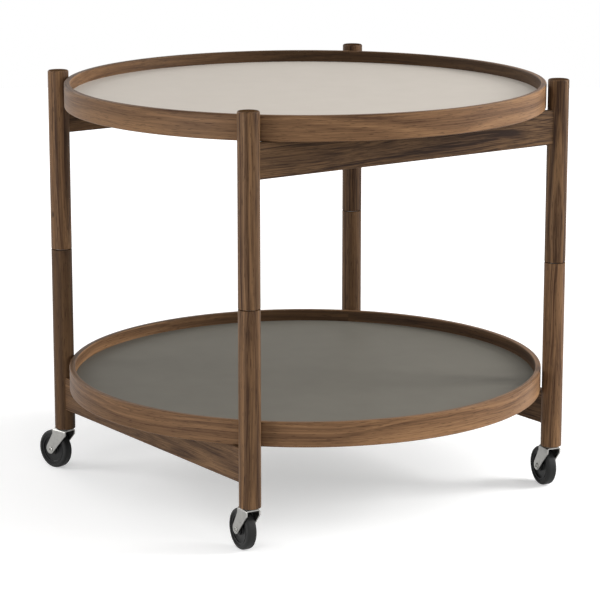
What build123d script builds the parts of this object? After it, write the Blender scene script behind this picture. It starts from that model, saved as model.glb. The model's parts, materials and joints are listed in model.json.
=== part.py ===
"""Round serving trolley on castors: two lift-out trays in a walnut frame that folds about its four legs.

Millimetres, +Z up. The origin is on the floor, midway between the four legs. +Y is the back.
The upper rails run along X and the lower rails along Y, so each leg is split in two halves that
turn on a pin, and the four half frames fold as a parallelogram once the trays are lifted out.
"""
from build123d import *
from math import acos, cos, degrees, radians, sin
import os

os.makedirs("parts", exist_ok=True)

# Trays
tray_diameter = 650.0
rim_height = 33.0
rim_wall = 8.0
rim_edge_radius = 2.0
board_drop = 16.2
core_thickness = 4.0
laminate_thickness = 0.5
groove_depth = 4.0
groove_gap = 0.1
laminate_edge_gap = 0.1
tray_seat_gap = 0.2

# Legs
leg_diameter = 28.5
leg_gap = 1.8
leg_angle = 42.86
lower_half_length = 257.2
upper_half_length = 248.3
leg_top_radius = 2.0
seam_chamfer = 0.6
leg_bottom_chamfer = 1.0

# Leg pivots
pin_diameter = 8.0
pin_reach = 28.0
pin_chamfer = 1.0
pin_bore_extra = 2.0
pin_press_gap = 0.02
pin_running_gap = 0.08
open_pivot_gap = 0.3
seam_washer_diameter = 22.0
seam_washer_thickness = 0.8
seam_washer_gap = 0.2

# Rails
rail_thickness = 12.0
rail_height = 46.0
rail_edge_radius = 1.5
upper_rail_drop = 40.5
lower_rail_rise = 29.1
tenon_thickness = 8.0
tenon_height = 33.0
tenon_depth = 18.0
tenon_side_gap = 0.1
tenon_end_gap = 1.0
shoulder_gap = 0.05

# Castor wheels
wheel_diameter = 54.2
wheel_bead_diameter = 43.4
wheel_width = 14.2
tread_radius = 3.8
core_rim_width = 12.6
core_rim_thickness = 3.8
core_web_width = 7.6
hub_diameter = 15.0
hub_end_gap = 0.5
ring_groove = 0.6
ring_fillet = 1.0

# Castor forks
fork_inner_width = 16.6
fork_sheet = 2.0
fork_bend_radius = 1.2
wheel_top_gap = 2.85
trail = 20.1
crown_front = 9.4
crown_back = 16.1
skirt_depth = 7.6
skirt_fillet = 4.3
arm_end_radius = 7.3
arm_end_back = 1.5
arm_end_up = 1.0

# Castor axles, stems and sockets
axle_diameter = 5.0
axle_running_gap = 0.08
rivet_hole_gap = 0.03
axle_head_diameter = 7.5
axle_head_height = 1.2
axle_head_round = 0.8
stem_diameter = 8.0
stem_length = 24.0
stem_neck_diameter = 6.0
stem_head_diameter = 10.0
stem_head_height = 1.0
stem_nose = 1.5
stem_groove_depth = 0.6
stem_groove_width = 2.0
stem_groove_from_top = 4.0
stem_running_gap = 0.08
swivel_washer_diameter = 17.0
swivel_washer_thickness = 0.8
swivel_gap = 0.15
socket_wall = 1.0
socket_length = 28.0
socket_flange_diameter = 19.0
socket_flange_thickness = 0.8
socket_press_gap = 0.02
socket_bore_extra = 1.0

# Way that each castor trails from its leg, in degrees from +X
trail_angle = {
    "front_left": 83.4,
    "front_right": 78.1,
    "back_right": 90.0,
    "back_left": 103.7,
}

# Side of the trolley on which each leg stands, as signs of X and Y
leg_side = {
    "front_left": (-1, -1),
    "front_right": (1, -1),
    "back_right": (1, 1),
    "back_left": (-1, 1),
}

# The front and left halves of the linkage close at this leg, which is left open as a joint
open_pivot_leg = "back_right"

# Inside radius of the tray rims
rim_inside = tray_diameter / 2 - rim_wall

# Places of the legs: on a circle just outside the trays
leg_radius = leg_diameter / 2
leg_circle = tray_diameter / 2 + leg_gap + leg_radius
half_span_x = leg_circle * cos(radians(leg_angle))
half_span_y = leg_circle * sin(radians(leg_angle))

# Levels above the floor, stacked up from the wheels
axle_level = wheel_diameter / 2
crown_underside = wheel_diameter + wheel_top_gap
crown_top = crown_underside + fork_sheet
flange_underside = crown_top + swivel_washer_thickness + swivel_gap
leg_bottom = flange_underside + socket_flange_thickness
seam_bottom = leg_bottom + lower_half_length
seam_top = seam_bottom + seam_washer_thickness + seam_washer_gap
leg_top = seam_top + upper_half_length
lower_rail_level = leg_bottom + lower_rail_rise + rail_height / 2
upper_rail_level = leg_top - upper_rail_drop - rail_height / 2

# Radius of the socket's sleeve
socket_radius = stem_diameter / 2 + stem_running_gap + socket_wall

# Widths across the fork
fork_outer_width = fork_inner_width + 2 * fork_sheet
hub_width = fork_inner_width - 2 * hub_end_gap


def save(piece, name):
    """Label a finished piece and write it."""
    piece.part.label = name
    export_step(piece.part, f"parts/{name}.step")


def leg_place(corner, level):
    """Point on the axis of a leg at a level above the floor."""
    side_x, side_y = leg_side[corner]
    return (side_x * half_span_x, side_y * half_span_y, level)


def inward(corner, along):
    """Unit vector from a leg towards the rail that it carries, along "x" or "y"."""
    side_x, side_y = leg_side[corner]
    return Vector(-side_x, 0, 0) if along == "x" else Vector(0, -side_y, 0)


# Trays


def tray_rim(name, bottom, groove_level):
    """Bent rim of a tray with rounded edges and a groove inside, centred on a level, for the core."""
    with BuildPart() as rim:
        with BuildSketch(Plane.XZ):
            with Locations((rim_inside + rim_wall / 2, bottom + rim_height / 2)):
                wall = Rectangle(rim_wall, rim_height)
            fillet(wall.vertices(), rim_edge_radius)
            with Locations((rim_inside, groove_level)):
                Rectangle(2 * groove_depth, core_thickness + 2 * groove_gap, mode=Mode.SUBTRACT)
        revolve(axis=Axis.Z)
    save(rim, name)


def tray_disc(name, radius, bottom, thickness):
    """Round layer of a tray's board."""
    with BuildPart() as disc:
        with BuildSketch(Plane.XY.offset(bottom)):
            Circle(radius)
        extrude(amount=thickness)
    save(disc, name)


def tray(name, rim_bottom):
    """A tray: a rim, a core let into the rim's groove, and a laminate on each face of the core."""
    core_top = rim_bottom + rim_height - board_drop - laminate_thickness
    core_bottom = core_top - core_thickness
    core_radius = rim_inside + groove_depth - groove_gap
    laminate_radius = rim_inside - laminate_edge_gap
    tray_rim(f"{name}_rim", rim_bottom, core_bottom + core_thickness / 2)
    tray_disc(f"{name}_core", core_radius, core_bottom, core_thickness)
    tray_disc(f"{name}_top_laminate", laminate_radius, core_top, laminate_thickness)
    tray_disc(f"{name}_bottom_laminate", laminate_radius, core_bottom - laminate_thickness, laminate_thickness)


# Rails


def tenon_plane(corner, along, level):
    """Plane across a rail's tenon at the leg's axis, facing back into the rail."""
    return Plane(origin=leg_place(corner, level), x_dir=(0, 0, 1), z_dir=inward(corner, along))


def rail(name, corners, along, level):
    """Rail between two legs: shoulders coped to the legs and a round-ended tenon at each end."""
    start, end = (Vector(*leg_place(corner, level)) for corner in corners)
    length = (end - start).length
    with BuildPart() as board:
        with BuildSketch(tenon_plane(corners[0], along, level)):
            section = Rectangle(rail_height, rail_thickness)
            fillet(section.vertices(), rail_edge_radius)
        extrude(amount=length)
        for corner in corners:
            with BuildSketch(Plane(leg_place(corner, level - rail_height))):
                Circle(leg_radius + shoulder_gap)
            extrude(amount=2 * rail_height, mode=Mode.SUBTRACT)
        for corner in corners:
            with BuildSketch(tenon_plane(corner, along, level).offset(leg_radius - tenon_depth)):
                SlotOverall(tenon_height, tenon_thickness)
            extrude(amount=tenon_depth + rail_thickness)
    save(board, name)


# Legs


def mortise_outline(corner, along, level):
    """Outline of a rail's mortise on the mortise's floor, inside a leg."""
    with BuildSketch(tenon_plane(corner, along, level).offset(leg_radius - tenon_depth - tenon_end_gap)) as slot:
        SlotOverall(tenon_height + 2 * tenon_side_gap, tenon_thickness + 2 * tenon_side_gap)
    return slot.sketch


def bore_outline(corner, level, radius):
    """Circle about a leg's axis at a level."""
    with BuildSketch(Plane(leg_place(corner, level))) as circle:
        Circle(radius)
    return circle.sketch


def lower_leg(corner):
    """Lower half of a leg: castor socket bore below, pivot pin's press fit above."""
    with BuildPart() as half:
        with BuildSketch(Plane(leg_place(corner, leg_bottom))):
            Circle(leg_radius)
        extrude(amount=lower_half_length)
        chamfer(half.edges().sort_by(Axis.Z)[0], leg_bottom_chamfer)
        chamfer(half.edges().sort_by(Axis.Z)[-1], seam_chamfer)
        extrude(mortise_outline(corner, "y", lower_rail_level), amount=leg_diameter, mode=Mode.SUBTRACT)
        socket_bore = bore_outline(corner, leg_bottom, socket_radius + socket_press_gap)
        extrude(socket_bore, amount=socket_length + socket_bore_extra, mode=Mode.SUBTRACT)
        pin_bore = bore_outline(corner, seam_bottom, pin_diameter / 2 + pin_press_gap)
        extrude(pin_bore, amount=-pin_reach - pin_bore_extra, mode=Mode.SUBTRACT)
    save(half, f"leg_lower_{corner}")


def upper_leg(corner):
    """Upper half of a leg: pivot bore below, rounded end grain on top."""
    bore_gap = open_pivot_gap if corner == open_pivot_leg else pin_running_gap
    with BuildPart() as half:
        with BuildSketch(Plane(leg_place(corner, seam_top))):
            Circle(leg_radius)
        extrude(amount=upper_half_length)
        chamfer(half.edges().sort_by(Axis.Z)[0], seam_chamfer)
        fillet(half.edges().sort_by(Axis.Z)[-1], leg_top_radius)
        extrude(mortise_outline(corner, "x", upper_rail_level), amount=leg_diameter, mode=Mode.SUBTRACT)
        pin_bore = bore_outline(corner, seam_top, pin_diameter / 2 + bore_gap)
        extrude(pin_bore, amount=pin_reach + pin_bore_extra, mode=Mode.SUBTRACT)
    save(half, f"leg_upper_{corner}")


def pivot_pin(corner):
    """Steel pin on which the two halves of a leg turn."""
    with BuildPart() as pin:
        with BuildSketch(Plane(leg_place(corner, seam_bottom - pin_reach))):
            Circle(pin_diameter / 2)
        extrude(amount=pin_reach + seam_top - seam_bottom + pin_reach)
        chamfer(pin.edges().filter_by(GeomType.CIRCLE), pin_chamfer)
    save(pin, f"pivot_pin_{corner}")


def seam_washer(corner):
    """Thin washer that carries the upper half of a leg on the lower one."""
    with BuildPart() as washer:
        with BuildSketch(Plane(leg_place(corner, seam_bottom))):
            Circle(seam_washer_diameter / 2)
            Circle(pin_diameter / 2 + pin_running_gap, mode=Mode.SUBTRACT)
        extrude(amount=seam_washer_thickness)
    save(washer, f"pivot_washer_{corner}")


# Castors


def side_plane(corner):
    """Plane through a castor's swivel axis: x runs back along its trail and y up from the floor."""
    angle = radians(trail_angle[corner])
    back = Vector(cos(angle), sin(angle), 0)
    return Plane(origin=leg_place(corner, 0), x_dir=back, z_dir=back.cross(Vector(0, 0, 1)))


def touch_point(start, centre, radius, side):
    """Where a line from start touches a circle, on the side given as 1 or -1."""
    to_start = Vector(*start) - Vector(*centre)
    turn = side * degrees(acos(radius / to_start.length))
    return Vector(*centre) + to_start.normalized().rotate(Axis.Z, turn) * radius


def fork(corner):
    """Pressed steel fork: a U of sheet cut to two arms that taper down to the axle."""
    side = side_plane(corner)
    skirt_bottom = crown_top - skirt_depth
    front = (-crown_front, skirt_bottom)
    back = (crown_back, skirt_bottom)
    end_centre = (trail + arm_end_back, axle_level + arm_end_up)
    front_touch = touch_point(front, end_centre, arm_end_radius, 1)
    back_touch = touch_point(back, end_centre, arm_end_radius, -1)
    end_tip = Vector(*end_centre) + Vector(arm_end_radius, -arm_end_radius).normalized() * arm_end_radius
    arm_middle = (fork_inner_width + fork_sheet) / 2
    crown_middle = crown_top - fork_sheet / 2
    with BuildPart() as piece:
        with BuildSketch(Plane(origin=side.origin, x_dir=side.z_dir, z_dir=-side.x_dir)):
            with BuildLine():
                FilletPolyline(
                    (-arm_middle, 0),
                    (-arm_middle, crown_middle),
                    (arm_middle, crown_middle),
                    (arm_middle, 0),
                    radius=fork_bend_radius + fork_sheet / 2,
                )
            trace(line_width=fork_sheet)
        extrude(amount=wheel_diameter, both=True)
        with BuildSketch(side):
            with BuildLine():
                Polyline(front_touch, front, (-crown_front, crown_top), (crown_back, crown_top), back, back_touch)
                ThreePointArc(back_touch, end_tip, front_touch)
            outline = make_face()
            fillet(outline.vertices().filter_by(lambda v: abs(v.Y - skirt_bottom) < fork_sheet / 2), skirt_fillet)
        extrude(amount=fork_outer_width, both=True, mode=Mode.INTERSECT)
        with BuildSketch(side):
            with Locations((trail, axle_level)):
                Circle(axle_diameter / 2 + rivet_hole_gap)
        extrude(amount=fork_outer_width, both=True, mode=Mode.SUBTRACT)
        with BuildSketch(Plane(leg_place(corner, crown_underside))):
            Circle(stem_neck_diameter / 2 + rivet_hole_gap)
        extrude(amount=fork_sheet, mode=Mode.SUBTRACT)
    save(piece, f"castor_fork_{corner}")


def axle(corner):
    """Rivet through the fork's arms and the wheel's hub, with a domed head at each end."""
    with BuildPart() as rivet:
        with BuildSketch(side_plane(corner)):
            with Locations((trail, axle_level)):
                Circle(axle_diameter / 2)
        extrude(amount=fork_outer_width / 2, both=True)
        for direction in (1, -1):
            with BuildSketch(side_plane(corner).offset(direction * fork_outer_width / 2)):
                with Locations((trail, axle_level)):
                    Circle(axle_head_diameter / 2)
            extrude(amount=direction * axle_head_height)
        ends = rivet.faces().sort_by(Axis(side_plane(corner).origin, side_plane(corner).z_dir))
        fillet(ends[0].edges() + ends[-1].edges(), axle_head_round)
    save(rivet, f"castor_axle_{corner}")


def wheel_plane(corner):
    """Plane through a wheel's axle: x runs along the axle and y up from it."""
    side = side_plane(corner)
    return Plane(
        origin=side.from_local_coords((trail, axle_level, 0)),
        x_dir=side.z_dir,
        z_dir=-side.x_dir,
    )


def wheel_core(corner):
    """Moulded wheel centre: hub, thin web and a rim with a ring groove on each face."""
    plane = wheel_plane(corner)
    bead = wheel_bead_diameter / 2
    bore = axle_diameter / 2 + axle_running_gap
    ring_middle = bead - core_rim_thickness / 2
    with BuildPart() as core:
        with BuildSketch(plane):
            with Locations((0, (bore + hub_diameter / 2) / 2)):
                Rectangle(hub_width, hub_diameter / 2 - bore)
            with Locations((0, (bore + bead) / 2)):
                Rectangle(core_web_width, bead - bore)
            with Locations((0, ring_middle)):
                Rectangle(core_rim_width, core_rim_thickness)
        revolve(axis=Axis(plane.origin, plane.x_dir))
        circles = core.edges().filter_by(GeomType.CIRCLE)
        fillet([edge for edge in circles if on_web(edge, plane)], ring_fillet)
        for direction in (1, -1):
            with BuildSketch(plane):
                with Locations((direction * core_rim_width / 2, ring_middle)):
                    Rectangle(ring_groove, 2 * ring_groove)
            revolve(axis=Axis(plane.origin, plane.x_dir), mode=Mode.SUBTRACT)
    save(core, f"castor_wheel_{corner}")


def on_web(edge, plane):
    """Whether a circular edge lies where the wheel's web meets its hub or rim."""
    reach = abs(plane.to_local_coords(edge.arc_center).X)
    return abs(reach - core_web_width / 2) < hub_end_gap


def tyre(corner):
    """Tyre round the wheel centre, with rounded tread shoulders."""
    plane = wheel_plane(corner)
    bead = wheel_bead_diameter / 2
    tread = wheel_diameter / 2
    with BuildPart() as ring:
        with BuildSketch(plane):
            with Locations((0, (bead + tread) / 2)):
                section = Rectangle(wheel_width, tread - bead)
            fillet(section.vertices().group_by(Axis.Y)[-1], tread_radius)
        revolve(axis=Axis(plane.origin, plane.x_dir))
    save(ring, f"castor_tyre_{corner}")


def stem(corner):
    """Stem riveted to the fork's crown, with the groove that its grip ring snaps into."""
    top = crown_top + stem_length
    radius = stem_diameter / 2
    groove_level = top - stem_groove_from_top
    with BuildPart() as piece:
        with BuildSketch(Plane(leg_place(corner, crown_underside - stem_head_height))):
            Circle(stem_head_diameter / 2)
        extrude(amount=stem_head_height)
        with BuildSketch(Plane(leg_place(corner, crown_underside))):
            Circle(stem_neck_diameter / 2)
        extrude(amount=fork_sheet)
        with BuildSketch(Plane(leg_place(corner, crown_top))):
            Circle(radius)
        extrude(amount=stem_length)
        chamfer(piece.edges().sort_by(Axis.Z)[-1], stem_nose)
        with BuildSketch(Plane(leg_place(corner, groove_level))):
            Circle(stem_diameter)
            Circle(radius - stem_groove_depth, mode=Mode.SUBTRACT)
        extrude(amount=-stem_groove_width, mode=Mode.SUBTRACT)
    save(piece, f"castor_stem_{corner}")


def swivel_washer(corner):
    """Thrust washer between the fork's crown and the socket's flange."""
    with BuildPart() as washer:
        with BuildSketch(Plane(leg_place(corner, crown_top))):
            Circle(swivel_washer_diameter / 2)
            Circle(stem_diameter / 2 + stem_running_gap, mode=Mode.SUBTRACT)
        extrude(amount=swivel_washer_thickness)
    save(washer, f"castor_washer_{corner}")


def socket(corner):
    """Flanged sleeve pressed into the leg, in which the castor's stem turns."""
    with BuildPart() as sleeve:
        with BuildSketch(Plane(leg_place(corner, flange_underside))):
            Circle(socket_flange_diameter / 2)
        extrude(amount=socket_flange_thickness)
        with BuildSketch(Plane(leg_place(corner, leg_bottom))):
            Circle(socket_radius)
        extrude(amount=socket_length)
        with BuildSketch(Plane(leg_place(corner, flange_underside))):
            Circle(socket_radius - socket_wall)
        extrude(amount=socket_flange_thickness + socket_length, mode=Mode.SUBTRACT)
    save(sleeve, f"castor_socket_{corner}")


# The trolley

tray("lower_tray", lower_rail_level + rail_height / 2 + tray_seat_gap)
tray("upper_tray", upper_rail_level + rail_height / 2 + tray_seat_gap)

rail("front_upper_rail", ("front_left", "front_right"), "x", upper_rail_level)
rail("back_upper_rail", ("back_left", "back_right"), "x", upper_rail_level)
rail("left_lower_rail", ("front_left", "back_left"), "y", lower_rail_level)
rail("right_lower_rail", ("front_right", "back_right"), "y", lower_rail_level)

for corner in leg_side:
    lower_leg(corner)
    upper_leg(corner)
    pivot_pin(corner)
    seam_washer(corner)
    socket(corner)
    stem(corner)
    swivel_washer(corner)
    fork(corner)
    axle(corner)
    wheel_core(corner)
    tyre(corner)
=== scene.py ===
"""Looks of a round serving trolley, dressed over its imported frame. Metres, +Z up, +Y is the back.

Every visible piece is a numpy surface: turned parts carry a profile round an axis, rails and forks carry a
section along a path. A wood piece also keeps each point's place in its log, so the grain runs with the fibre.
"""

import json
import math

import bmesh
import bpy
import numpy as np
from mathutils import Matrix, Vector

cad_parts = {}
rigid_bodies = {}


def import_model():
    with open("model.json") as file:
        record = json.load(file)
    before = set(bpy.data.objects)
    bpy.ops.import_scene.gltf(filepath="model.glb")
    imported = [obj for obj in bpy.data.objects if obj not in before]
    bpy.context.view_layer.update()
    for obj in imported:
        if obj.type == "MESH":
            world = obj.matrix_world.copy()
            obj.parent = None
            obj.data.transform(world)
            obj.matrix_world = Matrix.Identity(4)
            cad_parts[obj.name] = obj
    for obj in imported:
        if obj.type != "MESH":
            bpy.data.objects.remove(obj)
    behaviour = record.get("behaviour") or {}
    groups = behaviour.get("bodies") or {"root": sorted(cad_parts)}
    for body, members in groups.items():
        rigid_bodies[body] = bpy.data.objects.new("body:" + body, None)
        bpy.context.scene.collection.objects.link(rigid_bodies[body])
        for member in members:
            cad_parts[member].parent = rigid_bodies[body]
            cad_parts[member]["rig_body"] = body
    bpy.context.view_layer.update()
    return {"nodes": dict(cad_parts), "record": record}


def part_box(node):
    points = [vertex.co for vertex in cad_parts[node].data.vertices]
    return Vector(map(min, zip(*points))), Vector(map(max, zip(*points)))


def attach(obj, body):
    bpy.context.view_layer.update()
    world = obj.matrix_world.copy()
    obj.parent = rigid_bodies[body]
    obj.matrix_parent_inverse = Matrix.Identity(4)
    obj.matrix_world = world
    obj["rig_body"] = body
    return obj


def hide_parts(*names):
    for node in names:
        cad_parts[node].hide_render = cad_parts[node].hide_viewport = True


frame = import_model()

MM = 0.001

# Trays
rim_edge = 2.0 * MM
rim_wall = 8.0 * MM
groove_depth = 4.0 * MM
groove_gap = 0.1 * MM
laminate_edge = 0.1 * MM

# Legs
leg_bottom_ease = 1.0 * MM
leg_top_ease = 2.0 * MM
seam_ease = 0.7 * MM
socket_bore = 5.1 * MM
socket_bore_depth = 29.0 * MM
pin_bore = 4.08 * MM
pin_bore_depth = 30.0 * MM
pin_ease = 1.0 * MM
knot_place = (-0.2641, 0.2297, 0.368)

# A leg's face is end grain where the upright part of its normal is above this
end_grain_facing = 0.99

# Rails
rail_edge = 1.5 * MM
rail_height = 46.0 * MM
tenon_height = 33.0 * MM
tenon_thickness = 8.0 * MM
shoulder_gap = 0.05 * MM

# Share of half the tenon's thickness that its rounded edges take, so that a sliver of flat is left between two arcs
tenon_round = 0.999

# Castors
metal_ease = 0.3 * MM
socket_sleeve = 5.08 * MM
socket_inside = 4.08 * MM
flange_thickness = 0.8 * MM
stem_head = 5.0 * MM
stem_head_height = 1.0 * MM
stem_head_ease = 0.6 * MM
stem_neck = 3.0 * MM
stem_radius = 4.0 * MM
stem_nose = 1.5 * MM
stem_ring_depth = 0.6 * MM
stem_ring_width = 2.0 * MM
stem_ring_from_top = 4.0 * MM
washer_inside = 4.08 * MM
fork_sheet = 2.0 * MM
fork_half = 10.3 * MM
fork_bend = 2.2 * MM
fork_edge = 0.5 * MM
crown_front = 9.4 * MM
crown_back = 16.1 * MM
skirt_depth = 7.6 * MM
skirt_round = 4.3 * MM
arm_end = 7.3 * MM
arm_end_back = 1.5 * MM
arm_end_up = 1.0 * MM
axle_radius = 2.5 * MM
axle_bore = 2.58 * MM
axle_head_height = 1.2 * MM
axle_dome = 0.8 * MM
axle_hollow = 1.9 * MM
axle_hollow_depth = 3.0 * MM
hub_radius = 7.5 * MM
hub_width = 15.6 * MM
core_web_width = 7.6 * MM
core_rim_inside = 17.9 * MM
core_rim_width = 12.6 * MM
ring_inside = 19.2 * MM
ring_outside = 20.4 * MM
ring_depth = 0.6 * MM
core_fillet = 1.0 * MM
core_ease = 0.4 * MM
bead_radius = 21.7 * MM
tyre_width = 14.2 * MM
tread_round = 3.8 * MM

# Each piece against plain walnut: how pale it is, partly its own tone and partly painted light and shade,
# and how strong its figure
tone_and_painted_light_of = {
    "upper_tray_rim": (1.36, 0.58),
    "lower_tray_rim": (1.48, 0.55),
    "front_upper_rail": (0.78, 1.6),
    "left_lower_rail": (1.05, 0.9),
    "leg_upper_front_left": (1.08, 0.9),
    "leg_lower_front_left": (1.1, 0.85),
    "leg_upper_back_left": (1.25, 0.8),
    "leg_lower_back_left": (0.75, 0.5),
    "leg_upper_back_right": (0.8, 1),
    "leg_lower_back_right": (0.8, 0.8),
    "leg_lower_front_right": (1.5, 0.8),
}

# Painted light and shade round the rims, which follow the side light. Shade round the rims, which follows the
# photo's light. Angles run from the back right leg. Outside, the painted light drifts by this share either way,
# and is palest between the front and the front right leg
rim_painted_light_drift = 0.4
rim_palest = math.radians(-112)

# Inside, painted shade makes a rim darker, and painted light pales it by this much more near the back left leg.
# The power makes the pale part narrower
rim_painted_shade_inside = 0.4
rim_inside_pale = {"upper_tray_rim": 0.95, "lower_tray_rim": 1.2}
rim_inside_palest = math.radians(102)
rim_inside_power = 1.8

# Shade of the legs' end grain, which drinks more oil
end_grain_shade = 0.85

# How each kind of piece is cut from its log: how deep the heart lies, how far aside it may lie, and how much nearer
# or further it comes per metre of length
rim_cut = (70 * MM, 20 * MM, 0.006)
leg_cut = (60 * MM, 30 * MM, 0.02)
rail_cut = (24 * MM, 10 * MM, 0.025)

# Length of log from which the pieces come, and the least and most of a cut's depth that a piece gets
log_length = 4.0
depth_range = (0.8, 1.25)

# Meshes: points closer than this merge, edges sharper than this stay crisp, and cosines stop short of 1
merge_distance = 0.002 * MM
crease_angle = math.radians(32)
almost_one = 0.999999

# Floor: radii of its rings, and its glow to the eye near the trolley and far from it, as (distance, strength)
floor_rings = (0, 1.0, 2.0, 4.0)
near_glow = (0.9, 0.4)
far_glow = (2.4, 1.0)

CORNERS = ("front_left", "front_right", "back_right", "back_left")
slot_of = {part["node"]: part["material_slot"] for part in frame["record"]["subparts"]}
log = np.random.default_rng(7)


# Node trees


def linear(code):
    """Linear colour of an sRGB hex value."""
    srgb = np.array([int(code[i:i + 2], 16) for i in (1, 3, 5)]) / 255
    value = np.where(srgb <= 0.04045, srgb / 12.92, ((srgb + 0.055) / 1.055) ** 2.4)
    return (*value.tolist(), 1.0)


def per_mm(*sizes):
    """Scale that makes a pattern one unit across over each of these sizes in mm."""
    return tuple(1 / (size * MM) for size in sizes)


def add(tree, kind, inputs=None, **settings):
    """Add a node with its settings, and give its inputs, by name or number, a socket to link or a value."""
    node = tree.nodes.new(kind)
    for name, value in settings.items():
        setattr(node, name, value)
    for key, value in (inputs or {}).items():
        if isinstance(value, bpy.types.NodeSocket):
            tree.links.new(value, node.inputs[key])
        else:
            node.inputs[key].default_value = value
    return node


def surface_finish(name):
    """An empty material with its shader joined to the output."""
    material = bpy.data.materials.new(name)
    material.use_nodes = True
    tree = material.node_tree
    tree.nodes.clear()
    shader = add(tree, "ShaderNodeBsdfPrincipled")
    add(tree, "ShaderNodeOutputMaterial", {"Surface": shader.outputs[0]})
    return material, tree, shader


def seen_white(tree):
    """1 where the eye, a gloss or a clear body looks straight at the surroundings, and 0 for the light that they
    give."""
    path = add(tree, "ShaderNodeLightPath")
    seen = add(tree, "ShaderNodeMath", {
        0: path.outputs["Is Camera Ray"], 1: path.outputs["Is Glossy Ray"]}, operation="MAXIMUM")
    return add(tree, "ShaderNodeMath", {
        0: seen.outputs[0], 1: path.outputs["Is Transmission Ray"]}, operation="MAXIMUM").outputs[0]


# Finishes


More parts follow.
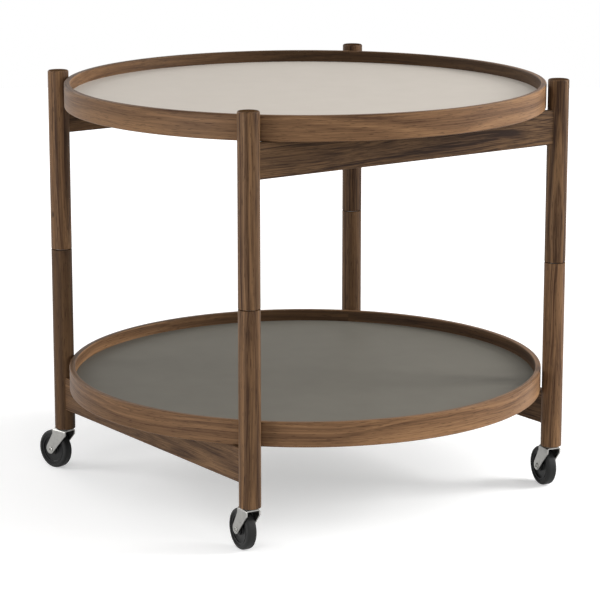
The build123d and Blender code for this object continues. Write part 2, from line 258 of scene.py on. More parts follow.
def oiled_walnut(name, shine, rough, smooth):
    """Walnut, planed, sanded and oiled: brown bands where the growth rings meet the surface, long darker
    streaks and short pores along the fibre, and a low sheen, which end grain lacks. shine is the specular level,
    rough and smooth the roughness of its dark and its pale wood."""
    material, tree, shader = surface_finish(name)
    place = add(tree, "ShaderNodeAttribute", attribute_name="grain").outputs["Vector"]

    # Fibres wander by about 5 mm over 200 mm of length, which draws flames where the rings are cut flat
    slow = add(tree, "ShaderNodeMapping", {"Vector": place, "Scale": per_mm(200, 60, 60)})
    wander = add(tree, "ShaderNodeTexNoise", {"Vector": slow.outputs[0], "Scale": 1, "Detail": 1})
    fibre = add(tree, "ShaderNodeVectorMath", {
        0: wander.outputs["Color"], 1: (0, 10 * MM, 10 * MM), 2: place}, operation="MULTIPLY_ADD").outputs[0]

    # Growth rings about 4 mm apart round the heart of the log
    round_heart = add(tree, "ShaderNodeMapping", {"Vector": fibre, "Scale": (0, 1, 1)})
    ring = add(tree, "ShaderNodeVectorMath", {0: round_heart.outputs[0]}, operation="LENGTH")
    rings = add(tree, "ShaderNodeTexNoise", {
        "W": ring.outputs["Value"], "Scale": per_mm(4)[0], "Detail": 2, "Roughness": 0.6}, noise_dimensions="1D")

    # Streaks 1.9 mm thick and 130 mm long, fibres 1.2 mm thick (finer in the wood, but these show), slow drift
    long_scale = add(tree, "ShaderNodeMapping", {"Vector": fibre, "Scale": per_mm(130, 1.9, 1.9)})
    streaks = add(tree, "ShaderNodeTexNoise", {"Vector": long_scale.outputs[0], "Scale": 1, "Detail": 3})
    fine_scale = add(tree, "ShaderNodeMapping", {"Vector": fibre, "Scale": per_mm(60, 1.2, 1.2)})
    fibres = add(tree, "ShaderNodeTexNoise", {"Vector": fine_scale.outputs[0], "Scale": 1, "Detail": 2})
    drift_scale = add(tree, "ShaderNodeMapping", {"Vector": place, "Scale": per_mm(380, 60, 60)})
    drift = add(tree, "ShaderNodeTexNoise", {"Vector": drift_scale.outputs[0], "Scale": 1, "Detail": 1})

    tone = add(tree, "ShaderNodeMath", {0: rings.outputs[0], 1: 0.34}, operation="MULTIPLY")
    for part, share in ((streaks, 0.28), (fibres, 0.26), (drift, 0.12)):
        tone = add(tree, "ShaderNodeMath", {
            0: part.outputs[0], 1: share, 2: tone.outputs[0]}, operation="MULTIPLY_ADD")

    # For each piece, x is how pale it is, partly its own tone and partly painted light and shade, and y how
    # strong its figure
    board = add(tree, "ShaderNodeAttribute", attribute_name="board").outputs["Vector"]
    board = add(tree, "ShaderNodeSeparateXYZ", {0: board})
    figure = add(tree, "ShaderNodeMath", {0: board.outputs["Y"], 1: 4.5}, operation="MULTIPLY")
    swing = add(tree, "ShaderNodeMath", {0: tone.outputs[0], 1: 0.5}, operation="SUBTRACT")
    level = add(tree, "ShaderNodeMath", {
        0: swing.outputs[0], 1: figure.outputs[0], 2: 0.5}, operation="MULTIPLY_ADD", use_clamp=True).outputs[0]
    ground = add(tree, "ShaderNodeMix", {0: level, 6: linear("#2E1E15"), 7: linear("#6E533A")}, data_type="RGBA")

    # Pores show as dark dashes about 14 mm long (short and fine in the wood, but these show)
    pore_scale = add(tree, "ShaderNodeMapping", {"Vector": fibre, "Scale": per_mm(14, 1.0, 1.0)})
    pore_noise = add(tree, "ShaderNodeTexNoise", {"Vector": pore_scale.outputs[0], "Scale": 1, "Detail": 1})
    pores = add(tree, "ShaderNodeMapRange", {
        "Value": pore_noise.outputs[0], "From Min": 0.6, "From Max": 0.7, "To Max": 0.55}).outputs[0]

    # One small dark knot, about 4 mm across and 7 mm tall, in the face of the back left leg
    spot = add(tree, "ShaderNodeTexCoord").outputs["Object"]
    from_knot = add(tree, "ShaderNodeVectorMath", {0: spot, 1: knot_place}, operation="SUBTRACT")
    knot_scale = add(tree, "ShaderNodeMapping", {"Vector": from_knot.outputs[0], "Scale": per_mm(2, 2, 3.5)})
    knot_reach = add(tree, "ShaderNodeVectorMath", {0: knot_scale.outputs[0]}, operation="LENGTH")
    knot = add(tree, "ShaderNodeMapRange", {
        "Value": knot_reach.outputs["Value"], "From Min": 0.6, "From Max": 1.6, "To Min": 0.8, "To Max": 0})
    pores = add(tree, "ShaderNodeMath", {0: pores, 1: knot.outputs[0]}, operation="MAXIMUM").outputs[0]
    grained = add(tree, "ShaderNodeMix", {0: pores, 6: ground.outputs[2], 7: linear("#20150E")}, data_type="RGBA")

    colour = add(tree, "ShaderNodeVectorMath", {
        0: grained.outputs[2], "Scale": board.outputs["X"]}, operation="SCALE")
    sheen = add(tree, "ShaderNodeMapRange", {"Value": level, "To Min": rough, "To Max": smooth})
    height = add(tree, "ShaderNodeMath", {0: fibres.outputs[0], 1: pores}, operation="SUBTRACT")
    relief = add(tree, "ShaderNodeBump", {"Height": height.outputs[0], "Distance": 0.1 * MM, "Strength": 0.5})
    tree.links.new(colour.outputs[0], shader.inputs["Base Color"])
    tree.links.new(sheen.outputs[0], shader.inputs["Roughness"])
    tree.links.new(relief.outputs[0], shader.inputs["Normal"])
    shader.inputs["IOR"].default_value = 1.5
    shader.inputs["Specular IOR Level"].default_value = shine
    return material


def laminate(name, light, dark, roughness):
    """High-pressure laminate pressed to a matt face: one even colour with the faintest cloud in its paper,
    and a pressed-in tooth that spreads the shine."""
    material, tree, shader = surface_finish(name)
    place = add(tree, "ShaderNodeTexCoord").outputs["Object"]
    cloud_scale = add(tree, "ShaderNodeMapping", {"Vector": place, "Scale": per_mm(35, 35, 35)})
    cloud = add(tree, "ShaderNodeTexNoise", {"Vector": cloud_scale.outputs[0], "Scale": 1, "Detail": 4})
    colour = add(tree, "ShaderNodeMix", {0: cloud.outputs[0], 6: linear(dark), 7: linear(light)}, data_type="RGBA")
    tooth_scale = add(tree, "ShaderNodeMapping", {"Vector": place, "Scale": per_mm(1.2, 1.2, 1.2)})
    tooth = add(tree, "ShaderNodeTexNoise", {"Vector": tooth_scale.outputs[0], "Scale": 1, "Detail": 1})
    relief = add(tree, "ShaderNodeBump", {"Height": tooth.outputs[0], "Distance": 0.03 * MM, "Strength": 0.3})
    tree.links.new(colour.outputs[2], shader.inputs["Base Color"])
    tree.links.new(relief.outputs[0], shader.inputs["Normal"])
    shader.inputs["Roughness"].default_value = roughness
    shader.inputs["IOR"].default_value = 1.5
    shader.inputs["Specular IOR Level"].default_value = 0.1
    return material


def fibreboard():
    """Medium-density fibreboard, sawn: an even brown edge with fine fibre specks."""
    material, tree, shader = surface_finish("sawn_fibreboard")
    place = add(tree, "ShaderNodeTexCoord").outputs["Object"]
    speck_scale = add(tree, "ShaderNodeMapping", {"Vector": place, "Scale": per_mm(1.5, 1.5, 0.6)})
    specks = add(tree, "ShaderNodeTexNoise", {"Vector": speck_scale.outputs[0], "Scale": 1, "Detail": 3})
    colour = add(tree, "ShaderNodeMix", {
        0: specks.outputs[0], 6: linear("#6E5640"), 7: linear("#A08465")}, data_type="RGBA")
    tree.links.new(colour.outputs[2], shader.inputs["Base Color"])
    shader.inputs["Roughness"].default_value = 0.85
    return material


def zinc_plate():
    """Pressed steel, bright zinc plated: a pale cold metal whose plating breaks its reflections softly."""
    material, tree, shader = surface_finish("bright_zinc_plate")
    place = add(tree, "ShaderNodeTexCoord").outputs["Object"]
    bloom_scale = add(tree, "ShaderNodeMapping", {"Vector": place, "Scale": per_mm(6, 6, 6)})
    bloom = add(tree, "ShaderNodeTexNoise", {"Vector": bloom_scale.outputs[0], "Scale": 1, "Detail": 3})
    colour = add(tree, "ShaderNodeMix", {
        0: bloom.outputs[0], 6: linear("#8C8B88"), 7: linear("#ABAAA6")}, data_type="RGBA")
    gloss = add(tree, "ShaderNodeMapRange", {"Value": bloom.outputs[0], "To Min": 0.22, "To Max": 0.4})
    grit_scale = add(tree, "ShaderNodeMapping", {"Vector": place, "Scale": per_mm(0.9, 0.9, 0.9)})
    grit = add(tree, "ShaderNodeTexNoise", {"Vector": grit_scale.outputs[0], "Scale": 1, "Detail": 1})
    relief = add(tree, "ShaderNodeBump", {"Height": grit.outputs[0], "Distance": 0.02 * MM, "Strength": 0.4})
    tree.links.new(colour.outputs[2], shader.inputs["Base Color"])
    tree.links.new(gloss.outputs[0], shader.inputs["Roughness"])
    tree.links.new(relief.outputs[0], shader.inputs["Normal"])
    shader.inputs["Metallic"].default_value = 1
    return material


def moulded(name, light, dark, low, high, grain_mm):
    """Moulded black plastic or rubber: near black, a little uneven in its shine, with a fine moulded grain."""
    material, tree, shader = surface_finish(name)
    place = add(tree, "ShaderNodeTexCoord").outputs["Object"]
    patch_scale = add(tree, "ShaderNodeMapping", {"Vector": place, "Scale": per_mm(5, 5, 5)})
    patches = add(tree, "ShaderNodeTexNoise", {"Vector": patch_scale.outputs[0], "Scale": 1, "Detail": 3})
    colour = add(tree, "ShaderNodeMix", {
        0: patches.outputs[0], 6: linear(dark), 7: linear(light)}, data_type="RGBA")
    gloss = add(tree, "ShaderNodeMapRange", {"Value": patches.outputs[0], "To Min": low, "To Max": high})
    grain_scale = add(tree, "ShaderNodeMapping", {"Vector": place, "Scale": per_mm(grain_mm, grain_mm, grain_mm)})
    grain = add(tree, "ShaderNodeTexNoise", {"Vector": grain_scale.outputs[0], "Scale": 1, "Detail": 1})
    relief = add(tree, "ShaderNodeBump", {"Height": grain.outputs[0], "Distance": 0.03 * MM, "Strength": 0.4})
    tree.links.new(colour.outputs[2], shader.inputs["Base Color"])
    tree.links.new(gloss.outputs[0], shader.inputs["Roughness"])
    tree.links.new(relief.outputs[0], shader.inputs["Normal"])
    shader.inputs["IOR"].default_value = 1.5
    shader.inputs["Specular IOR Level"].default_value = 0.25
    return material


finish_of = {
    "walnut": oiled_walnut("oiled_walnut", 0.08, 0.5, 0.42),
    "board_core": fibreboard(),
    "light_laminate": laminate("warm_grey_laminate", "#CFC7BD", "#C8C0B6", 0.62),
    "dark_laminate": laminate("dark_grey_laminate", "#6B6860", "#646159", 0.62),
    "zinc_steel": zinc_plate(),
    "black_plastic": moulded("black_nylon", "#151515", "#0C0C0C", 0.36, 0.5, 0.8),
    "black_rubber": moulded("black_tread_rubber", "#1A1A19", "#101010", 0.5, 0.7, 0.6),
}
end_grain = oiled_walnut("oiled_walnut_end_grain", 0, 0.8, 0.7)


# Surfaces


def centre_of(node):
    """Middle of a node's box."""
    lowest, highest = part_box(node)
    return np.array((lowest + highest) / 2)


def size_of(node):
    """Sides of a node's box."""
    lowest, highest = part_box(node)
    return np.array(highest - lowest)


def eased(corners, radii, closed=True, hold=0.25, steps=6):
    """Outline with its corners rounded. Each corner becomes an arc whose centre lies on the corner's bisector,
    radius / sin(half angle) away, and a point just outside each end of the arc holds the side flat."""
    corner = np.array(corners, float)
    radius = np.broadcast_to(np.array(radii, float), len(corner))[:, None]
    back = np.roll(corner, 1, axis=0) - corner
    ahead = np.roll(corner, -1, axis=0) - corner
    back /= np.linalg.norm(back, axis=1, keepdims=True)
    ahead /= np.linalg.norm(ahead, axis=1, keepdims=True)
    cosine = (back * ahead).sum(axis=1, keepdims=True)
    half = np.arccos(np.clip(cosine, -almost_one, almost_one)) / 2
    bisector = (back + ahead) / (2 * np.cos(half))
    centre = corner + bisector * radius / np.sin(half)
    first = corner + back * radius / np.tan(half)
    last = corner + ahead * radius / np.tan(half)
    turn = (math.pi - 2 * half)[:, None]
    share = np.linspace(0, 1, steps + 1)[None, :, None]
    from_first = np.sin((1 - share) * turn) * (first - centre)[:, None]
    from_last = np.sin(share * turn) * (last - centre)[:, None]
    arc = centre[:, None] + (from_first + from_last) / np.sin(turn)
    before = (first + back * radius * hold)[:, None]
    after = (last + ahead * radius * hold)[:, None]
    line = np.concatenate([before, arc, after], axis=1).reshape(-1, corner.shape[1])
    if closed:
        return np.concatenate([line, line[:1]])
    per_corner = steps + 3
    return np.concatenate([corner[:1], line[per_corner:-per_corner], corner[-1:]])


def puck(radius, half, edge):
    """Profile of a disc or pin, from its axis over its two eased edges and back, about its middle."""
    return eased([(0, -half), (radius, -half), (radius, half), (0, half)], (0, edge, edge, 0), closed=False)


def turned(profile, centre, axis=(0, 0, 1), start=(1, 0, 0), steps=96):
    """Grid of a turned surface: the profile's (radius, height) goes round the axis through the centre, so a point
    is centre + radius (cos a start + sin a side) + height axis."""
    axis, start = np.array(axis, float), np.array(start, float)
    side = np.cross(axis, start)
    angle = np.linspace(0, 2 * math.pi, steps + 1)[:, None, None]
    radius, height = profile[:, 0, None], profile[:, 1, None]
    return np.array(centre) + radius * (np.cos(angle) * start + np.sin(angle) * side) + height * axis


def skin(name, points, grain=None, board=None):
    """Closed mesh over a grid of points: four neighbours span a face, and points in one place merge, which closes
    seams and poles. grain, each point's place in the log, and board, its shade and figure, are kept on the faces'
    corners, so they may jump at a seam."""
    count = points.shape[0] * points.shape[1]
    index = np.arange(count).reshape(points.shape[:2])
    faces = np.stack([index[:-1, :-1], index[1:, :-1], index[1:, 1:], index[:-1, 1:]], axis=-1).reshape(-1, 4)
    mesh = bpy.data.meshes.new(name)
    mesh.from_pydata(points.reshape(-1, 3).tolist(), [], faces.tolist())
    if grain is not None:
        layer = mesh.attributes.new("grain", "FLOAT_VECTOR", "CORNER")
        layer.data.foreach_set("vector", grain.reshape(-1, 3)[faces.ravel()].astype(np.float32).ravel())
        layer = mesh.attributes.new("board", "FLOAT_VECTOR", "CORNER")
        layer.data.foreach_set("vector", board.reshape(-1, 3)[faces.ravel()].astype(np.float32).ravel())
    shell = bmesh.new()
    shell.from_mesh(mesh)
    bmesh.ops.remove_doubles(shell, verts=shell.verts, dist=merge_distance)
    bmesh.ops.recalc_face_normals(shell, faces=shell.faces)
    shell.to_mesh(mesh)
    shell.free()
    mesh.shade_smooth()
    mesh.set_sharp_from_angle(angle=crease_angle)
    piece = bpy.data.objects.new(name, mesh)
    bpy.context.scene.collection.objects.link(piece)
    return piece


def dress(node, points, grain=None, shade=1):
    """Make the piece that stands for a CAD node, in its slot's finish and on its body. A wood piece has its own
    paleness, partly painted light and shade, times the given one."""
    finish = finish_of[slot_of[node]]
    pale, figure = tone_and_painted_light_of.get(node, (1, 1))
    board = np.stack(np.broadcast_arrays(pale * shade, figure, np.zeros(points.shape[:2])), axis=-1)
    piece = skin(f"{node}.{finish.name}", points, grain, board)
    piece.data.materials.append(finish)
    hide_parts(node)
    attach(piece, frame["nodes"][node]["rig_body"])
    return piece


def in_log(along, across, depth, cut):
    """Place in the log of each point of a board: along the fibre, and across and deep from the heart line, which
    comes nearer or further by the taper along the board. Each piece is cut from its own stretch of log."""
    heart, spread, taper = cut
    shift = log.uniform(0, log_length)
    aside = log.uniform(-spread, spread)
    deep = heart * log.uniform(*depth_range)
    slope = taper * log.choice((-1, 1))
    parts = np.broadcast_arrays(along + shift, across + aside, depth + deep + slope * along)
    return np.stack(parts, axis=-1)


# Trays


def tray_rim(node, core):
    """Bent rim: a rounded wall section with the core's groove in its inner face, carried round the tray.
    The fibre runs round it, so a point's place in the log is (angle x radius, height, radius)."""
    outer = size_of(node)[0] / 2
    inner = outer - rim_wall
    middle = centre_of(node)
    half = size_of(node)[2] / 2
    groove = centre_of(core)[2] - middle[2]
    gap = size_of(core)[2] / 2 + groove_gap
    profile = eased(
        [(outer, -half), (outer, half), (inner, half), (inner, groove + gap), (inner + groove_depth, groove + gap),
         (inner + groove_depth, groove - gap), (inner, groove - gap), (inner, -half)],
        (rim_edge, rim_edge, rim_edge, 0, 0, 0, 0, rim_edge),
    )
    joint = centre_of("leg_lower_back_right") * (1, 1, 0)
    joint /= np.linalg.norm(joint)
    points = turned(profile, middle, start=joint, steps=576)
    around = np.linspace(0, 2 * math.pi * outer, points.shape[0])[:, None]
    grain = in_log(around, profile[None, :, 1], profile[None, :, 0] - inner, rim_cut)
    # Painted light and shade: outside, a drift round the rim; inside, painted shade that is paler near the back
    # left leg
    turn = around / outer
    outside = 1 + rim_painted_light_drift * np.cos(turn - rim_palest)
    facing = np.clip(np.cos(turn - rim_inside_palest), 0, 1)
    inside = rim_painted_shade_inside + rim_inside_pale[node] * facing ** rim_inside_power
    dress(node, points, grain, np.where(profile[None, :, 0] < inner + rim_edge / 2, inside, outside))


def tray_laminate(node):
    """Round sheet with a barely broken edge."""
    profile = puck(size_of(node)[0] / 2, size_of(node)[2] / 2, laminate_edge)
    dress(node, turned(profile, centre_of(node), steps=360))


# Frame


def turned_wood(node, profile):
    """Turned part with its fibre upright: a point's place in the log is (height, x, y) from the part's own axis.
    Its flat ends are end grain, with that finish."""
    middle = centre_of(node)
    points = turned(profile, middle * (1, 1, 0))
    around = points - middle
    height = profile[None, :, 1]
    ends = np.isclose(height, height.min()) | np.isclose(height, height.max())
    grain = in_log(around[..., 2], around[..., 0], around[..., 1], leg_cut)
    piece = dress(node, points, grain, np.where(ends, end_grain_shade, 1))
    piece.data.materials.append(end_grain)
    facing = np.empty((len(piece.data.polygons), 3), np.float32)
    piece.data.polygons.foreach_get("normal", facing.ravel())
    piece.data.polygons.foreach_set("material_index", (abs(facing[:, 2]) > end_grain_facing).astype(np.int32))


def leg(corner):
    """Two halves of a leg: bores for the castor socket and the pivot pin, eased seams, a rounded top."""
    for node in (f"leg_lower_{corner}", f"leg_upper_{corner}"):
        radius = size_of(node)[0] / 2
        low, high = (point[2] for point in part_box(node))
        if "lower" in node:
            turned_wood(node, eased(
                [(0, low + socket_bore_depth), (socket_bore, low + socket_bore_depth), (socket_bore, low),
                 (radius, low), (radius, high), (pin_bore, high), (pin_bore, high - pin_bore_depth),
                 (0, high - pin_bore_depth)],
                (0, 0, 0, leg_bottom_ease, seam_ease, 0, 0, 0), closed=False))
        else:
            turned_wood(node, eased(
                [(0, low + pin_bore_depth), (pin_bore, low + pin_bore_depth), (pin_bore, low), (radius, low),
                 (radius, high), (0, high)],
                (0, 0, 0, seam_ease, leg_top_ease, 0), closed=False))


def leg_pivot(corner):
    """Steel pin and thin washer in a leg's seam."""
    pin = f"pivot_pin_{corner}"
    profile = puck(size_of(pin)[0] / 2, size_of(pin)[2] / 2, pin_ease)
    dress(pin, turned(profile, centre_of(pin), steps=48))
    thin_ring(f"pivot_washer_{corner}", pin_bore)


def thin_ring(node, inside):
    """Flat washer."""
    outside = size_of(node)[0] / 2
    half = size_of(node)[2] / 2
    profile = eased(
        [(inside, -half), (outside, -half), (outside, half), (inside, half)], (0, half / 2, half / 2, 0), steps=3)
    dress(node, turned(profile, centre_of(node), steps=64))


def rail(node, lengthwise):
    """Rail: rows of one outline along its length, from the round-ended tenon's tip, over the shoulder coped to the
    leg, to the same at the other end. A shoulder point lies sqrt(leg radius^2 - across^2) from the leg's axis."""
    leg_node = "leg_lower_front_left" if lengthwise == 1 else "leg_upper_front_left"
    leg_radius = size_of(leg_node)[0] / 2 + shoulder_gap
    span = abs(centre_of(leg_node)[lengthwise])
    tip = size_of(node)[lengthwise] / 2
    half = size_of(node)[1 - lengthwise] / 2
    board = eased(
        [(-half, -rail_height / 2), (half, -rail_height / 2), (half, rail_height / 2), (-half, rail_height / 2)],
        rail_edge)
    thick, tall = tenon_thickness / 2, tenon_height / 2
    tenon = eased([(-thick, -tall), (thick, -tall), (thick, tall), (-thick, tall)], thick * tenon_round, hold=0)
    outlines = np.stack([tenon * 0, tenon, tenon, board])
    across, height = outlines[..., 0], outlines[..., 1]
    shoulder = span - np.sqrt(leg_radius ** 2 - across ** 2)
    along = np.stack([0 * across[0] + tip, 0 * across[0] + tip, shoulder[2], shoulder[3]])
    along = np.concatenate([-along, along[::-1]])
    across = np.concatenate([across, across[::-1]])
    height = np.concatenate([height, height[::-1]])
    sides = (along, across) if lengthwise == 0 else (across, along)
    points = np.stack([*sides, height], axis=-1) + centre_of(node)
    dress(node, points, in_log(along, height, across, rail_cut))


# Castors


def castor_socket(node):
    """Flanged sleeve in the leg's foot."""
    flange = size_of(node)[0] / 2
    low, high = (point[2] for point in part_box(node))
    under = low + flange_thickness
    profile = eased(
        [(socket_inside, low), (flange, low), (flange, under), (socket_sleeve, under), (socket_sleeve, high),
         (socket_inside, high)],
        (0, metal_ease, metal_ease, 0, 0, 0), steps=4)
    dress(node, turned(profile, centre_of(node) * (1, 1, 0), steps=72))


def castor_stem(node, fork):
    """Stem: riveted head under the crown, thin neck through it, shank with a grip ring's groove."""
    low, high = (point[2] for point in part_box(node))
    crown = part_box(fork)[1][2]
    under = low + stem_head_height
    ring_top = high - stem_ring_from_top
    ring_low = ring_top - stem_ring_width
    waist = stem_radius - stem_ring_depth
    profile = eased(
        [(0, low), (stem_head, low), (stem_head, under), (stem_neck, under), (stem_neck, crown),
         (stem_radius, crown), (stem_radius, ring_low), (waist, ring_low), (waist, ring_top),
         (stem_radius, ring_top), (stem_radius, high), (0, high)],
        (0, stem_head_ease, 0, 0, 0, 0, 0, 0, 0, 0, stem_nose, 0), closed=False, steps=4)
    dress(node, turned(profile, centre_of(node) * (1, 1, 0), steps=48))


def touch_point(start, centre, radius, side):
    """Where a line from start touches a circle, on the side given as 1 or -1."""
    away = np.array(start) - np.array(centre)
    distance = np.linalg.norm(away)
    turn = side * math.acos(radius / distance)
    unit = away / distance
    turned_unit = np.array([
        unit[0] * math.cos(turn) - unit[1] * math.sin(turn), unit[0] * math.sin(turn) + unit[1] * math.cos(turn)])
    return np.array(centre) + turned_unit * radius


def castor_fork(node, origin, back, across, axle):
    """Pressed fork: the sheet's section, a thin rounded strip, is carried along a U over the wheel. At each height
    the strip runs from the front edge to the back edge of the side outline, which narrows to the arms' round
    ends."""
    crown_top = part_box(node)[1][2]
    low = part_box(node)[0][2]
    skirt = crown_top - skirt_depth
    arm_middle = fork_half - fork_sheet / 2
    crown_middle = crown_top - fork_sheet / 2
    trail = np.dot(axle - origin, back)
    end = np.array([trail + arm_end_back, axle[2] + arm_end_up])

    # Front and back edges of the side outline, from the arm's tip up
    edges = []
    for crown_edge, side in ((-crown_front, 1), (crown_back, -1)):
        touch = touch_point((crown_edge, skirt), end, arm_end, side)
        reach = touch - end
        stop = math.atan2(side * -reach[0], -reach[1])
        swing = np.linspace(0, stop, 16)
        tip = np.stack([end[0] - side * arm_end * np.sin(swing), end[1] - arm_end * np.cos(swing)], axis=-1)
        upper = eased(
            [tuple(touch), (crown_edge, skirt), (crown_edge, crown_top)], (0, skirt_round, 0), closed=False)
        edges.append(np.concatenate([tip, upper]))

    # Heights of the strip's rows up one arm, close together at the tip and in the skirt's curve
    swing = np.linspace(0, math.pi / 2, 14)
    tip_rows = end[1] - arm_end * np.cos(swing)
    bend = eased(
        [(0, low), (0, crown_middle), (arm_middle, crown_middle)], (0, fork_bend, 0), closed=False, steps=8)
    arm_rows = np.linspace(end[1], crown_middle - fork_bend, 34)[1:-1]
    heights = np.concatenate([tip_rows, arm_rows, bend[1:-1, 1], [crown_middle]])
    inset = np.concatenate([0 * tip_rows, 0 * arm_rows, bend[1:-1, 0], [arm_middle]])
    heights = np.concatenate([heights, heights[-2::-1]])
    sideways = np.concatenate([inset - arm_middle, (arm_middle - inset)[-2::-1]])

    # Out of the sheet: the path's direction turned by a right angle
    path = np.stack([sideways, heights], axis=-1)
    run = np.gradient(path, axis=0)
    run /= np.linalg.norm(run, axis=1, keepdims=True)
    outward = np.stack([-run[:, 1], run[:, 0]], axis=-1)
    front, rear = (np.interp(heights, edge[:, 1], edge[:, 0])[:, None] for edge in edges)

    # The strip's section: a circle's quarters moved apart to the sheet's edges and faces
    quarter = np.repeat(np.arange(4), 6)
    angle = quarter * math.pi / 2 + np.tile(np.linspace(0, math.pi / 2, 6), 4)
    forward = np.where((quarter == 0) | (quarter == 3), 1, -1)
    outer = np.where(quarter < 2, 1, -1)
    half_width = (rear - front) / 2
    ease = np.minimum(fork_edge, half_width)
    along = (front + rear) / 2 + forward * (half_width - ease) + np.cos(angle) * ease
    proud = outer * (fork_sheet / 2 - fork_edge) + np.sin(angle) * fork_edge
    place = path[:, None] + outward[:, None] * proud[None, :, None]
    upright = place[..., 1:] * np.array([0, 0, 1])
    points = origin * (1, 1, 0) + along[..., None] * back + place[..., :1] * across + upright
    points = np.concatenate([points, points[:, :1]], axis=1)
    dress(node, points)


def castor(corner):
    """Castor: stem, washer and fork turn together about the leg's axis, and the wheel turns on the axle."""
    stem = f"castor_stem_{corner}"
    axle_node = f"castor_axle_{corner}"
    origin = centre_of(stem)
    axle = centre_of(axle_node)
    back = (axle - origin) * (1, 1, 0)
    back /= np.linalg.norm(back)
    across = np.cross(back, (0, 0, 1))
    castor_socket(f"castor_socket_{corner}")
    castor_stem(stem, f"castor_fork_{corner}")
    thin_ring(f"castor_washer_{corner}", washer_inside)
    castor_fork(f"castor_fork_{corner}", origin, back, across, axle)

    head = size_of(axle_node)[2] / 2
    outer = fork_half
    end = outer + axle_head_height
    floor = end - axle_hollow_depth
    profile = eased(
        [(0, -floor), (axle_hollow, -floor), (axle_hollow, -end), (head, -end), (head, -outer),
         (axle_radius, -outer), (axle_radius, outer), (head, outer), (head, end), (axle_hollow, end),
         (axle_hollow, floor), (0, floor)],
        (0, 0, metal_ease, axle_dome, 0, 0, 0, 0, axle_dome, metal_ease, 0, 0), closed=False)
    dress(axle_node, turned(profile, axle, across, (0, 0, 1), steps=48))

    wheel = f"castor_wheel_{corner}"
    hub_half = hub_width / 2
    web_half = core_web_width / 2
    rim_half = core_rim_width / 2
    side = np.array([
        (axle_bore, hub_half, 0), (hub_radius, hub_half, core_ease), (hub_radius, web_half, core_fillet),
        (core_rim_inside, web_half, core_fillet), (core_rim_inside, rim_half, core_ease),
        (ring_inside, rim_half, 0), (ring_inside, rim_half - ring_depth, 0),
        (ring_outside, rim_half - ring_depth, 0), (ring_outside, rim_half, 0),
        (bead_radius, rim_half, core_ease)])
    both = np.concatenate([side, side[::-1] * (1, -1, 1)])
    dress(wheel, turned(eased(both[:, :2], both[:, 2]), axle, across, (0, 0, 1)))

    tyre = f"castor_tyre_{corner}"
    tread = size_of(tyre)[2] / 2
    half = tyre_width / 2
    profile = eased(
        [(bead_radius, half), (tread, half), (tread, -half), (bead_radius, -half)],
        (core_ease, tread_round, tread_round, core_ease))
    dress(tyre, turned(profile, axle, across, (0, 0, 1), steps=128))


for tray in ("upper_tray", "lower_tray"):
    core = f"{tray}_core"
    tray_rim(f"{tray}_rim", core)
    tray_laminate(f"{tray}_top_laminate")
    tray_laminate(f"{tray}_bottom_laminate")
    frame["nodes"][core].data.materials.clear()
    frame["nodes"][core].data.materials.append(finish_of["board_core"])

for corner in CORNERS:
    leg(corner)
    leg_pivot(corner)
    castor(corner)

rail("front_upper_rail", 0)
rail("back_upper_rail", 0)
rail("left_lower_rail", 1)
rail("right_lower_rail", 1)


# Studio


def white_floor():
    """Pale floor disc. It takes the trolley's soft shadow; to the eye, a glow added to it brings its lit part to
    white, a little more of it away from the trolley, where the lamp gives less."""
    material = bpy.data.materials.new("matt_white_floor")
    material.use_nodes = True
    tree = material.node_tree
    tree.nodes.clear()
    paint = add(tree, "ShaderNodeBsdfDiffuse", {"Color": (0.8, 0.8, 0.8, 1)})
    place = add(tree, "ShaderNodeTexCoord").outputs["Object"]
    away = add(tree, "ShaderNodeVectorMath", {0: place}, operation="LENGTH")
    glow = add(tree, "ShaderNodeMapRange", {
        "Value": away.outputs["Value"], "From Min": near_glow[0], "From Max": far_glow[0],
        "To Min": near_glow[1], "To Max": far_glow[1]})
    shown = add(tree, "ShaderNodeMath", {0: glow.outputs[0], 1: seen_white(tree)}, operation="MULTIPLY")
    light = add(tree, "ShaderNodeEmission", {"Color": (1, 1, 1, 1), "Strength": shown.outputs[0]})
    both = add(tree, "ShaderNodeAddShader", {0: paint.outputs[0], 1: light.outputs[0]})
    add(tree, "ShaderNodeOutputMaterial", {"Surface": both.outputs[0]})
    rings = np.array([(radius, 0) for radius in floor_rings], float)
    floor = skin("studio_floor", turned(rings, (0, 0, 0), steps=128))
    floor.data.materials.append(material)


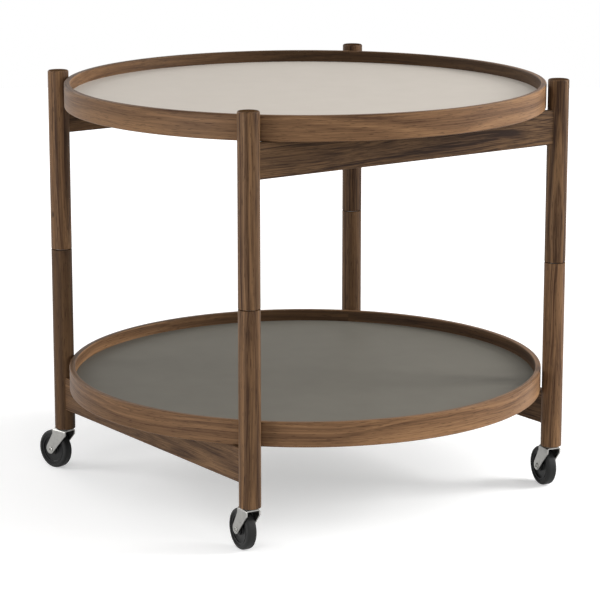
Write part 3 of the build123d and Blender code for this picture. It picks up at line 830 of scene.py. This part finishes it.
def white_surroundings():
    """World that is white to the eye and in the gloss, and gives the pieces a plain level of light."""
    world = bpy.data.worlds.new("white_studio")
    world.use_nodes = True
    tree = world.node_tree
    tree.nodes.clear()
    white = add(tree, "ShaderNodeBackground", {"Color": (1, 1, 1, 1), "Strength": 1})
    soft = add(tree, "ShaderNodeBackground", {"Color": (1, 1, 1, 1), "Strength": 0.2})
    mixed = add(tree, "ShaderNodeMixShader", {0: seen_white(tree), 1: soft.outputs[0], 2: white.outputs[0]})
    add(tree, "ShaderNodeOutputWorld", {"Surface": mixed.outputs[0]})
    bpy.context.scene.world = world


def soft_lamp(name, place, side, power):
    """Square soft box turned to the trolley."""
    lamp = bpy.data.lights.new(name, "AREA")
    lamp.shape = "SQUARE"
    lamp.size = side
    lamp.energy = power
    lamp_object = bpy.data.objects.new(name, lamp)
    lamp_object.location = place
    lamp_object.rotation_euler = (Vector(place) - Vector((0, 0, 0.3))).to_track_quat("Z", "Y").to_euler()
    bpy.context.scene.collection.objects.link(lamp_object)


def photo_camera():
    """Camera at the photo's place: it looks 35.2 degrees to the right of +Y and 12.6 degrees down."""
    camera = bpy.data.cameras.new("photo_camera")
    camera.sensor_width = 36
    camera.lens = 156.1
    camera_object = bpy.data.objects.new("photo_camera", camera)
    camera_object.location = (-2.0223, -2.8511, 1.0372)
    camera_object.rotation_euler = (math.radians(90 - 12.612), 0, math.radians(-35.232))
    bpy.context.scene.collection.objects.link(camera_object)
    bpy.context.scene.camera = camera_object


white_floor()
white_surroundings()
soft_lamp("right_soft_box", (2.1, -1.5, 1.15), 1.0, 62)
soft_lamp("right_high_soft_box", (1.6, -1.1, 2.1), 1.6, 20)
soft_lamp("left_soft_box", (-2.1, 1.5, 1.3), 1.6, 32)
soft_lamp("front_fill", (-1.3, -1.9, 1.8), 1.6, 19)
soft_lamp("front_right_fill", (0.5, -2.4, 1.5), 1.6, 10)
soft_lamp("back_fill", (-0.5, 2.4, 1.5), 1.6, 14)
soft_lamp("low_bounce_board", (-2.5, -0.3, 0.15), 1.0, 36)
photo_camera()
bpy.context.scene.view_settings.view_transform = "Standard"
